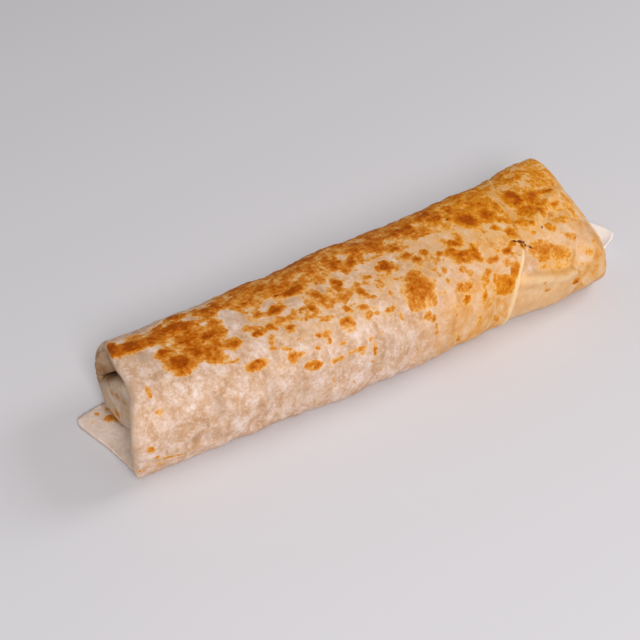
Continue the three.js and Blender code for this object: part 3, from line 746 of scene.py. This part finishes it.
inside_heat = np.zeros(len(points))
on_ear = (points[:, 2] < EAR_TOP) & (points[:, 0] < -116)
on_panel = (points[:, 2] >= EAR_TOP) & (points[:, 0] < -105)
for y, z, radius, warmth in PANEL_SPOTS:
    away = np.hypot((points[:, 1] - y) * 0.8, points[:, 2] - z) / radius
    inside_heat = np.maximum(inside_heat, np.where(on_panel, warmth * np.clip(1.45 - away, 0, 1), 0))
for x, y, radius, warmth in EAR_SPOTS:
    away = np.hypot((points[:, 0] - x) * 0.8, (points[:, 1] - y) * 0.7) / radius
    inside_heat = np.maximum(inside_heat, np.where(on_ear, warmth * np.clip(1.45 - away, 0, 1), 0))
# Olive-brown shade is painted along the creases and in the pocket of the left end.
pocket_shade = np.zeros(len(points))
for line, wide, amount in POCKET_SHADE_LINES:
    pocket_shade = np.maximum(pocket_shade, amount * smooth(1, 0.2, off_line(line) / wide))
pocket_shade = pocket_shade * inside_left

# The back shoulder and the crown of the roll lay on the griddle: browned nearly all over at the back, with
# more and more pale gaps down to the front.
wandering = 3.5 * np.sin(lay_x / 11) + 2.5 * np.sin(lay_x / 4.7 + 1)
back_shoulder = smooth(0, -12, lay_s) * smooth(-52, -28, lay_s + wandering)
back_shoulder = back_shoulder * smooth(-84, -60, lay_x + 5 * np.sin(lay_s / 4.3)) * smooth(114, 102, lay_x)
back_shoulder = back_shoulder * (1 - 0.3 * smooth(62, 68, lay_x))
crown = smooth(16, 8, lay_s) * smooth(-14, -4, lay_s) * smooth(-80, -66, lay_x) * smooth(108, 94, lay_x)
low_crown = smooth(34, 24, lay_s) * smooth(0, 12, lay_s) * smooth(-74, -56, lay_x) * smooth(104, 90, lay_x)
heat = np.maximum(heat, 0.58 * back_shoulder + 0.21 * crown + 0.19 * low_crown)
for *place, amount in CLEAR:
    heat = heat - amount * blot(*place) * np.clip(heat, 0, 1)
# The right end was buttered, and is golden between its patches.
buttered = 0.32 * smooth(-90, -30, lay_x) + 0.72 * smooth(-14, 62, lay_x)
buttered = buttered * smooth(34, 14, lay_s) * smooth(-60, -40, lay_s)
buttered = np.maximum(buttered, 0.95 * smooth(-18, 30, lay_x) * smooth(84, 60, lay_s) * smooth(14, 36, lay_s))
past_edge = smooth(-0.6, 0.6, lay_x - around_roll(SLANTING_EDGE, point_angle))
pale_corner = smooth(9, 4, np.hypot(lay_x - 58, lay_s - 29))
# Less butter shows on the foot below the golden flap: painted light there.
lit_foot = smooth(36, 42, lay_s) * smooth(88, 80, lay_x)
buttered = buttered * (1 - past_edge * (0.3 * lit_foot + 0.5 * pale_corner))
# Small round spots are scattered over the crown and the upper front.
spotted = np.maximum(0.5 * back_shoulder, 0.7 * crown) + low_crown
front_spots = smooth(-20, 0, lay_x) * smooth(56, 50, lay_x) * smooth(48, 34, lay_s) * smooth(20, 30, lay_s)
left_spots = smooth(-74, -60, lay_x) * smooth(-18, -26, lay_x) * smooth(50, 30, lay_s) * smooth(20, 30, lay_s)
spotted = np.maximum(spotted, np.maximum(0.9 * front_spots, 0.85 * left_spots))
# The lip of the slanting edge stays yellow, with a brown line of shade painted in the crease under it.
lip_width = 1.2 + 1.6 * smooth(18, 44, lay_s)
lip_band_and_highlight = smooth(1.2, 0.5, to_lip / lip_width) * smooth(-0.4, 0.0, to_lip) * smooth(16, 26, lay_s)
heat = heat * (1 - 0.8 * lip_band_and_highlight)
# Below the golden flap a cream highlight is painted on the fold's ridge and on the foot under it, and shade
# is painted in the furrow above the ridge.
ridge = beside_line(((52, 36.6), (62, 38.6), (70, 41), (77, 42), (83, 40.6)))
below_flap = smooth(86, 80, lay_x) * before_lip
ridge_highlight = np.exp(-((ridge / 2.6) ** 2)) * smooth(51, 54, lay_x) * below_flap
foot_highlight = smooth(40, 43, lay_s) * below_flap
lip_band_and_highlight = np.maximum(lip_band_and_highlight, np.maximum(0.75 * ridge_highlight, 0.35 * foot_highlight))
# Painted shade: a brown line in the crease under the lip, and in the furrow above the fold below the flap.
crease_shade = 0.85 * np.exp(-(((to_lip + 0.5) / 0.5) ** 2)) * smooth(8, 20, lay_s) * smooth(52, 30, lay_s)
crease_shade = np.maximum(crease_shade, 0.35 * np.exp(-(((to_lip + 0.5) / 0.6) ** 2)))
furrow = beside_line(((58, 34.6), (62, 35.4), (67, 36.5), (72, 37.6), (77, 38), (81, 37.2), (83, 31)))
crease_shade = np.maximum(crease_shade, 0.45 * np.exp(-((furrow / 1.5) ** 2)) * before_lip)

# None of this runs on where the sheet is folded away, but the tuck is buttered too.
heat = np.where(folded_away, inside_heat, heat)
for field in (buttered, spotted, steamed_and_shaded, lip_band_and_highlight, crease_shade):
    field[folded_away] = 0
even[folded_away] = 0.85
buttered[beyond_right & (lay_x < 112.8)] = 0.6
# The skin is painted in a greyer shade where it turns over the left rim.
past_rim = lay_x - around_roll(LEFT_RIM, point_angle)
rim_shade = np.exp(-((past_rim / 2.6) ** 2)) * smooth(4, 16, lay_s) * smooth(60, 48, lay_s)
steamed_and_shaded = np.maximum(steamed_and_shaded, rim_shade)


def store(mesh, name, values):
    layer = mesh.attributes.new(name, "FLOAT", "POINT")
    layer.data.foreach_set("value", np.ascontiguousarray(values, np.float32))


for name, values in (
    ("griddle_heat", heat), ("char", char), ("even", even), ("buttered", buttered), ("spotted", spotted),
    ("steamed_and_shaded", steamed_and_shaded), ("lip_band_and_highlight", lip_band_and_highlight), ("crease_shade", crease_shade), ("pocket_shade", pocket_shade),
):
    store(skin_mesh, name, values)
# The panel and the hood are a darker, greyer cream, a less pink dough with shade painted on the end that
# faces away from the light, and the ears are the whitest dough.
on_right_ear = beyond_right * smooth(112.4, 114, lay_x)
store(skin_mesh, "folded_in_tint_and_shade", inside_left * np.where(on_ear, 0.3, 1.0))
store(skin_mesh, "white_fold", np.maximum(on_right_ear, 0.45 * (inside_left & on_ear)))
# The pattern is laid out on the sheet outside, and simply in space where the sheet is folded away.
sheet_place = np.where(
    folded_away[:, None], points + np.array([0, 0, 90.0]), np.stack([lay_x, lay_s, 0 * lay_x], axis=-1)
)
laid_out = skin_mesh.attributes.new("laid_out", "FLOAT_VECTOR", "POINT")
laid_out.data.foreach_set("vector", sheet_place.astype(np.float32).ravel())

# The part's origin is the middle of the bottom of its box.
MIDDLE_X = -1.742
MIDDLE_Y = 3.601
shift = Matrix.Translation((-MIDDLE_X * 0.001, -MIDDLE_Y * 0.001, 0))
skin_mesh.transform(shift)


# Griddle relief
# The hot plate raises small blisters where it browns the sheet, and the dough between them stays grainy and
# lower. One node tree lays the leopard pattern of the browning over the sheet and lifts the skin with it.
def add_node(tree, kind, settings=None, **inputs):
    node = tree.nodes.new(kind)
    for key, value in (settings or {}).items():
        setattr(node, key, value)
    for key, value in inputs.items():
        name = key.replace("_", " ")
        socket = node.inputs[int(key[1:])] if key[0] == "i" and key[1:].isdigit() else node.inputs[name]
        if isinstance(value, bpy.types.NodeSocket):
            tree.links.new(value, socket)
        else:
            socket.default_value = value
    return node


def math_node(tree, operation, first, second=0.0, third=0.0):
    return add_node(
        tree, "ShaderNodeMath", {"operation": operation}, i0=first, i1=second, i2=third
    ).outputs[0]


def ranged(tree, value, start, end, low, high):
    settings = {"interpolation_type": "SMOOTHSTEP"}
    node = add_node(tree, "ShaderNodeMapRange", settings, Value=value, i1=start, i2=end, i3=low, i4=high)
    return node.outputs[0]


def laid_noise(tree, laid, scale, detail, roughness, seed, stretch=(1, 1, 1), distortion=0.0):
    stretched = add_node(tree, "ShaderNodeVectorMath", {"operation": "MULTIPLY"}, i0=laid, i1=stretch)
    made = add_node(
        tree, "ShaderNodeTexNoise", {"noise_dimensions": "4D"}, Vector=stretched.outputs[0], W=seed,
        Scale=scale, Detail=detail, Roughness=roughness, Distortion=distortion,
    )
    return made.outputs["Fac"]


# Heights are in metres, as the mesh is, and spacings in millimetres, as the sheet is laid out.
RELIEF = {
    "Blister Height": 0.00022,
    "Grain Height": 0.00012,
    "Pucker Height": 0.0007,
    "Patch Spacing": 5.5,
    "Spot Spacing": 6.0,
    "Grain Spacing": 1.7,
    "Pattern Seed": 4.3,
}


def relief_tree(material):
    tree = bpy.data.node_groups.new("griddle relief", "GeometryNodeTree")
    sockets = {}
    tree.interface.new_socket("Geometry", in_out="INPUT", socket_type="NodeSocketGeometry")
    for name, value in RELIEF.items():
        made = tree.interface.new_socket(name, in_out="INPUT", socket_type="NodeSocketFloat")
        made.default_value = value
        sockets[name] = made.identifier
    tree.interface.new_socket("Geometry", in_out="OUTPUT", socket_type="NodeSocketGeometry")
    given = tree.nodes.new("NodeGroupInput").outputs

    def stored(name, kind="FLOAT"):
        node = add_node(tree, "GeometryNodeInputNamedAttribute", {"data_type": kind}, Name=name)
        return node.outputs["Attribute"]

    laid = stored("laid_out", "FLOAT_VECTOR")
    heat_there = stored("griddle_heat")

    def noise(spacing, *settings):
        scale = math_node(tree, "DIVIDE", 1.0, spacing)
        return math_node(tree, "SUBTRACT", laid_noise(tree, laid, scale, *settings), 0.5)

    # The leopard pattern swings round the heat, and less where a patch lay flat on the plate.
    leopard = noise(given["Patch Spacing"], 5.0, 0.68, given["Pattern Seed"], (0.85, 1, 1), 0.5)
    swing = math_node(tree, "MULTIPLY_ADD", stored("even"), -1.9, 2.3)
    swing = math_node(tree, "MULTIPLY", leopard, swing)
    warm = math_node(tree, "ADD", heat_there, swing)
    anywhere = ranged(tree, heat_there, 0.05, 0.3, 0.0, 1.0)
    browned = math_node(tree, "MULTIPLY", warm, anywhere)

    # Small round spots where single bubbles of the dough touched the plate.
    cells = add_node(
        tree, "ShaderNodeTexVoronoi", {"voronoi_dimensions": "3D", "feature": "F1"}, Vector=laid,
        Scale=math_node(tree, "DIVIDE", 1.0, given["Spot Spacing"]),
    )
    cell = add_node(tree, "ShaderNodeSeparateXYZ", {}, Vector=cells.outputs["Color"])
    reach = ranged(tree, cell.outputs["X"], 0.35, 1.0, 0.0, 0.42)
    spot = math_node(tree, "SUBTRACT", reach, cells.outputs["Distance"])
    spot = math_node(tree, "MULTIPLY_ADD", spot, 1.5, 0.34)
    spot = math_node(tree, "MULTIPLY_ADD", leopard, 0.8, spot)
    spot = math_node(tree, "MULTIPLY", spot, stored("spotted"))
    browned = math_node(tree, "MAXIMUM", browned, spot)

    blistered = ranged(tree, browned, 0.3, 0.75, 0.0, 1.0)
    blister_lift = math_node(tree, "MULTIPLY", blistered, given["Blister Height"])
    grain = math_node(tree, "MULTIPLY", noise(given["Grain Spacing"], 2.0, 0.55, 1.7), given["Grain Height"])
    grain = math_node(tree, "MULTIPLY", grain, 2.0)
    puckered = noise(6.5, 2.0, 0.5, 9.1, (1, 0.3, 1), 0.6)
    pucker = math_node(tree, "MULTIPLY", puckered, given["Pucker Height"])
    pucker = math_node(tree, "MULTIPLY", pucker, 3.0)
    lift = math_node(tree, "ADD", math_node(tree, "ADD", blister_lift, grain), pucker)
    normal = tree.nodes.new("GeometryNodeInputNormal").outputs[0]
    offset = add_node(tree, "ShaderNodeVectorMath", {"operation": "SCALE"}, i0=normal, Scale=lift).outputs[0]
    position = tree.nodes.new("GeometryNodeInputPosition").outputs[0]
    moved = add_node(tree, "ShaderNodeVectorMath", {"operation": "ADD"}, i0=position, i1=offset).outputs[0]
    apart = add_node(tree, "ShaderNodeSeparateXYZ", {}, Vector=moved)
    on_floor = math_node(tree, "MAXIMUM", apart.outputs["Z"], 0.0)
    floored = add_node(
        tree, "ShaderNodeCombineXYZ", {}, X=apart.outputs["X"], Y=apart.outputs["Y"], Z=on_floor
    ).outputs[0]
    named = add_node(
        tree, "GeometryNodeStoreNamedAttribute", {"data_type": "FLOAT", "domain": "POINT"},
        Geometry=given["Geometry"], Name="browned", Value=browned,
    )
    placed = add_node(tree, "GeometryNodeSetPosition", {}, Geometry=named.outputs[0], Position=floored)
    realized = add_node(tree, "GeometryNodeRealizeInstances", {}, Geometry=placed.outputs[0])
    dressed = add_node(tree, "GeometryNodeSetMaterial", {}, Geometry=realized.outputs[0], Material=material)
    ending = tree.nodes.new("NodeGroupOutput")
    tree.links.new(dressed.outputs[0], ending.inputs[0])
    return tree, sockets


# Toasted flour tortilla
# Pale steamed wheat dough, finely mottled, browned in leopard patches by a hot griddle: a thin cream-yellow
# halo, golden, orange-brown, and dark brown in the hottest middles. The right end is buttery and golden.
def linear(hex_colour):
    channels = [int(hex_colour[i : i + 2], 16) / 255 for i in (1, 3, 5)]
    return [c / 12.92 if c <= 0.04045 else ((c + 0.055) / 1.055) ** 2.4 for c in channels] + [1.0]


def toasted_tortilla():
    material = bpy.data.materials.new("toasted flour tortilla")
    material.use_nodes = True
    tree = material.node_tree
    tree.nodes.clear()

    def attribute(name, output="Fac"):
        return add_node(tree, "ShaderNodeAttribute", {"attribute_name": name}).outputs[output]

    laid = attribute("laid_out", "Vector")

    def noise(spacing, *settings):
        return laid_noise(tree, laid, 1 / spacing, *settings)

    def mix(factor, first, second):
        node = add_node(tree, "ShaderNodeMix", {"data_type": "RGBA"})
        for socket, value in ((node.inputs[0], factor), (node.inputs[6], first), (node.inputs[7], second)):
            if isinstance(value, bpy.types.NodeSocket):
                tree.links.new(value, socket)
            else:
                socket.default_value = value
        return node.outputs[2]

    def ramp(value, stops):
        node = tree.nodes.new("ShaderNodeValToRGB")
        tree.links.new(value, node.inputs[0])
        points_there = node.color_ramp.elements
        while len(points_there) < len(stops):
            points_there.new(0.5)
        for element, (place, colour) in zip(points_there, stops):
            element.position = place
            element.color = linear(colour)
        return node.outputs[0]

    # Dough: pinkish white and beige clouds, a fine grain, and a golden film of butter.
    clouds = noise(6.0, 5.0, 0.66, 2.2, (1, 0.75, 1), 0.4)
    dough = ramp(clouds, ((0.34, "#B88C68"), (0.45, "#CDA788"), (0.55, "#DDBFAB"), (0.66, "#E6D2C8")))
    beige = noise(4.0, 4.0, 0.65, 6.4, (1, 0.6, 1))
    dough = mix(ranged(tree, beige, 0.5, 0.68, 0.0, 0.65), dough, linear("#CB9F76"))
    grain = noise(1.3, 3.0, 0.65, 3.1)
    dough = mix(ranged(tree, grain, 0.5, 0.7, 0.0, 0.45), dough, linear("#F2E0D3"))
    dough = mix(ranged(tree, grain, 0.5, 0.32, 0.0, 0.45), dough, linear("#BC9272"))
    # Grey-mauve: the wet filling showing through, and painted shade in the hollows, by the puckers and over
    # the left rim.
    damp_and_shade = math_node(tree, "MULTIPLY", attribute("steamed_and_shaded"), ranged(tree, clouds, 0.3, 0.6, 1.0, 0.6))
    dough = mix(damp_and_shade, dough, linear("#B99C86"))
    butter_noise = noise(6.0, 4.0, 0.65, 7.7, (1, 0.8, 1), 0.5)
    butter_colour = ramp(butter_noise, (
        (0.36, "#EABD86"), (0.48, "#E5AB64"), (0.6, "#D99543"), (0.7, "#CC8530"),
    ))
    butter_film = ranged(tree, butter_noise, 0.32, 0.56, 0.5, 1.0)
    dough = mix(math_node(tree, "MULTIPLY", attribute("buttered"), butter_film), dough, butter_colour)
    # A darker, greyer cream on the folded-in left end: less pink dough, and painted shade.
    dough = mix(math_node(tree, "MULTIPLY", attribute("folded_in_tint_and_shade"), 0.5), dough, linear("#C9B397"))
    dough = mix(math_node(tree, "MULTIPLY", attribute("white_fold"), 0.75), dough, linear("#FAF5F2"))
    # The lip of the slanting edge is pale yellow, and cream highlights are painted on the fold's ridge and
    # the foot below it.
    dough = mix(attribute("lip_band_and_highlight"), dough, linear("#F2CF9F"))
    specks = noise(1.1, 1.0, 0.5, 8.8)
    dough = mix(ranged(tree, specks, 0.72, 0.8, 0.0, 0.5), dough, linear("#8F7058"))

    # Browning: one heat, from a golden halo by way of orange to dark brown.
    fine = math_node(tree, "SUBTRACT", noise(1.6, 4.0, 0.68, 5.5), 0.5)
    mottled = math_node(tree, "SUBTRACT", noise(3.6, 4.0, 0.7, 12.5), 0.5)
    spread = math_node(tree, "MULTIPLY_ADD", fine, 0.6, attribute("browned"))
    warmth = math_node(tree, "MULTIPLY_ADD", mottled, 1.3, spread)
    warmth = math_node(tree, "MULTIPLY_ADD", fine, 0.9, warmth)
    toast = ramp(warmth, (
        (0.2, "#E3AE70"), (0.34, "#D99A4E"), (0.48, "#CF8530"), (0.62, "#C6741E"), (0.78, "#BA6206"),
        (0.92, "#AB5200"), (1.0, "#9F4800"),
    ))
    buttery = ramp(warmth, (
        (0.2, "#EBB56C"), (0.34, "#E19B3C"), (0.48, "#D98B22"), (0.62, "#D07C12"), (0.78, "#C56B04"),
        (0.92, "#B55900"), (1.0, "#A84D00"),
    ))
    toast = mix(ranged(tree, attribute("buttered"), 0.5, 1.0, 0.0, 1.0), toast, buttery)
    toast = mix(ranged(tree, warmth, 1.05, 1.45, 0.0, 0.7), toast, linear("#8A3A02"))
    halo = ranged(tree, spread, 0.1, 0.27, 0.0, 0.6)
    shown = ranged(tree, spread, 0.22, 0.31, 0.0, 1.0)
    skin_colour = mix(shown, mix(halo, dough, linear("#E4B987")), toast)
    # Brown shade is painted in the crease under the lip and in the furrow below the golden flap.
    skin_colour = mix(attribute("crease_shade"), skin_colour, linear("#B17B38"))
    # Olive-brown painted shade in the creases and the pocket of the left end.
    pocket_shading = math_node(tree, "MULTIPLY", attribute("pocket_shade"), ranged(tree, clouds, 0.3, 0.6, 1.0, 0.7))
    skin_colour = mix(pocket_shading, skin_colour, linear("#80500E"))
    burnt = math_node(tree, "MULTIPLY_ADD", fine, 1.6, attribute("char"))
    skin_colour = mix(ranged(tree, burnt, 0.34, 0.75, 0.0, 0.94), skin_colour, linear("#5C1C02"))

    shader = add_node(
        tree, "ShaderNodeBsdfPrincipled", {}, Base_Color=skin_colour, Roughness=0.6, Specular_IOR_Level=0.08,
        Subsurface_Weight=0.08, Subsurface_Scale=0.0015,
    )
    shader.inputs["Subsurface Radius"].default_value = (1.0, 0.5, 0.25)
    output = tree.nodes.new("ShaderNodeOutputMaterial")
    tree.links.new(shader.outputs[0], output.inputs[0])
    return material


tortilla = toasted_tortilla()
relief, relief_inputs = relief_tree(tortilla)
relieved = burrito.modifiers.new("griddle relief", "NODES")
relieved.node_group = relief
for name, value in RELIEF.items():
    relieved[relief_inputs[name]] = value
bpy.context.view_layer.update()
evaluated = burrito.evaluated_get(bpy.context.evaluated_depsgraph_get())
finished = bpy.data.meshes.new_from_object(evaluated)
burrito.modifiers.remove(relieved)
burrito.data = finished
finished.shade_smooth()
triangles = sum(len(polygon.vertices) - 2 for polygon in finished.polygons)
print("finished:", len(finished.vertices), "vertices", triangles, "tris")

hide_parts("rolled_tortilla")
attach(burrito, "root")


# The floor
# A pale plain ground, so that the bread's colours and its soft shadow read.
def pale_ground():
    data = bpy.data.meshes.new("floor")
    half = 2.0
    corners = [(-half, -half, 0), (half, -half, 0), (half, half, 0), (-half, half, 0)]
    data.from_pydata(corners, [], [(0, 1, 2, 3)])
    made = bpy.data.objects.new("floor", data)
    bpy.context.scene.collection.objects.link(made)
    ground = bpy.data.materials.new("pale ground")
    ground.use_nodes = True
    shader = ground.node_tree.nodes["Principled BSDF"]
    shader.inputs["Base Color"].default_value = linear("#D9D7DB")
    shader.inputs["Roughness"].default_value = 0.5
    data.materials.append(ground)
    return made


floor = pale_ground()


# The light
# Soft boxes over the front and the right, and an even pale sky.
def soft_box(name, place, aim, size, power):
    data = bpy.data.lights.new(name, "AREA")
    data.shape = "RECTANGLE"
    data.size = size[0]
    data.size_y = size[1]
    data.energy = power
    made = bpy.data.objects.new(name, data)
    bpy.context.scene.collection.objects.link(made)
    back = np.array(place, float) - np.array(aim, float)
    back = back / np.linalg.norm(back)
    right = np.cross((0, 0, 1), back)
    right = right / np.linalg.norm(right)
    up = np.cross(back, right)
    made.matrix_world = Matrix(
        [[right[i], up[i], back[i], place[i]] for i in range(3)] + [[0, 0, 0, 1]]
    )
    return made


soft_box("box over the front", (-0.45, -1.0, 0.95), (0, 0, 0.02), (0.6, 0.6), 14.4)
soft_box("box over the right", (0.95, -0.2, 0.8), (0, 0, 0.02), (0.6, 0.6), 5.0)
world = bpy.data.worlds.new("pale sky")
world.use_nodes = True
world.node_tree.nodes["Background"].inputs[0].default_value = linear("#F2EEEC")
world.node_tree.nodes["Background"].inputs[1].default_value = 0.34
bpy.context.scene.world = world
bpy.context.scene.view_settings.view_transform = "Standard"


# The camera
# It looks down on the front of the left end from the angle of the picture, with a long lens.
lens = bpy.data.cameras.new("camera")
lens.sensor_width = 36.0
lens.lens = 77.63
lens.clip_start = 0.01
camera = bpy.data.objects.new("camera", lens)
bpy.context.scene.collection.objects.link(camera)
camera.matrix_world = Matrix(
    (
        (0.84381157, 0.3447813, -0.41122729, -0.270939 - MIDDLE_X * 0.001),
        (-0.5363842, 0.56551355, -0.62648737, -0.363643 - MIDDLE_Y * 0.001),
        (0.01655347, 0.74921311, 0.66212212, 0.410),
        (0, 0, 0, 1),
    )
)
bpy.context.scene.camera = camera
